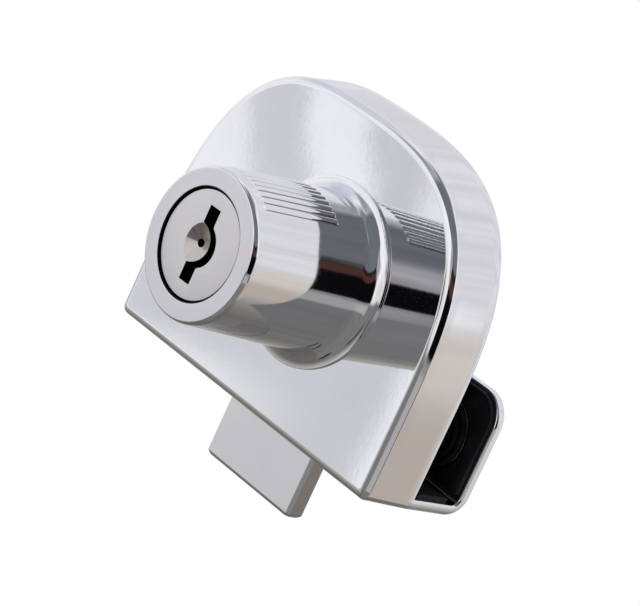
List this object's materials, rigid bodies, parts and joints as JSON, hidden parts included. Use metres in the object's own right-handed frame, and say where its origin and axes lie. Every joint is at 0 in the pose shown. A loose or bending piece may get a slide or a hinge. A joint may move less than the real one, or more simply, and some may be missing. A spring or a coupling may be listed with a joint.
{
  "type": "glass cabinet door lock",
  "caption": "Clamp-on glass cabinet door lock: arched chrome body and rear jaw that grip the glass edge, ribbed key knob and a sliding bolt.",
  "frame": {"origin": "on the key's axis, in the plane where the glass lies against the front pad", "axes": "+X along the glass edge to the right as seen from the key side, +Y from the key side to the rear of the glass, +Z from the flat edge to the arched top; the bolt comes out along -Z"},
  "size_m": [0.049, 0.0367, 0.0456],
  "materials": {
    "body_chrome": "mirror polished",
    "knob_chrome": "mirror polished with a satin front face",
    "plug_nickel": "satin",
    "bolt_steel": "satin",
    "wafer_brass": "stamped",
    "spring_steel": "drawn wire",
    "driver_steel": "zinc plated",
    "plate_steel": "zinc plated",
    "screw_steel": "zinc plated",
    "clamp_screw_steel": "nickel plated",
    "pad_rubber": "matt black"
  },
  "bodies": {
    "body": {"lock_body": "body_chrome", "cylinder_housing": "knob_chrome", "housing_screws": "screw_steel", "back_plate": "plate_steel", "back_plate_screws": "screw_steel", "front_pad": "pad_rubber", "edge_pad": "pad_rubber", "rear_pad": "pad_rubber"},
    "plug": {"key_plug": "plug_nickel", "wafers": "wafer_brass", "wafer_springs": "spring_steel", "driver_disc": "driver_steel", "tail_screw": "screw_steel"},
    "bolt": {"lock_bolt": "bolt_steel"},
    "left_foot": {"left_foot": "driver_steel", "left_foot_rubber": "pad_rubber"},
    "left_screw": {"left_clamp_screw": "clamp_screw_steel"},
    "right_foot": {"right_foot": "driver_steel", "right_foot_rubber": "pad_rubber"},
    "right_screw": {"right_clamp_screw": "clamp_screw_steel"}
  },
  "joints": [
    {"name": "key_turn", "type": "hinge", "parent": "body", "child": "plug", "pos_m": [0, -0.0078, 0], "axis": [0, 1, 0], "range_deg": [0, 180.5]},
    {"name": "bolt_slide", "type": "slide", "parent": "body", "child": "bolt", "axis": [0, 0, 1], "range_m": [0, 0.008]},
    {"name": "left_foot_slide", "type": "slide", "parent": "body", "child": "left_foot", "axis": [0, -1, 0], "range_m": [0, 0.001]},
    {"name": "left_screw_turn", "type": "hinge", "parent": "left_foot", "child": "left_screw", "pos_m": [-0.0212, 0.0063, -0.0104], "axis": [0, -1, 0], "range_deg": [0, 455]},
    {"name": "right_foot_slide", "type": "slide", "parent": "body", "child": "right_foot", "axis": [0, -1, 0], "range_m": [0, 0.001]},
    {"name": "right_screw_turn", "type": "hinge", "parent": "right_foot", "child": "right_screw", "pos_m": [0.0142, 0.0063, -0.0104], "axis": [0, -1, 0], "range_deg": [0, 455]}
  ],
  "couplings": [
    {"joint": "key_turn", "follows": "bolt_slide", "rad_per_m": 392.7},
    {"joint": "left_screw_turn", "follows": "left_foot_slide", "rad_per_m": 7854},
    {"joint": "right_screw_turn", "follows": "right_foot_slide", "rad_per_m": 7854}
  ]
}
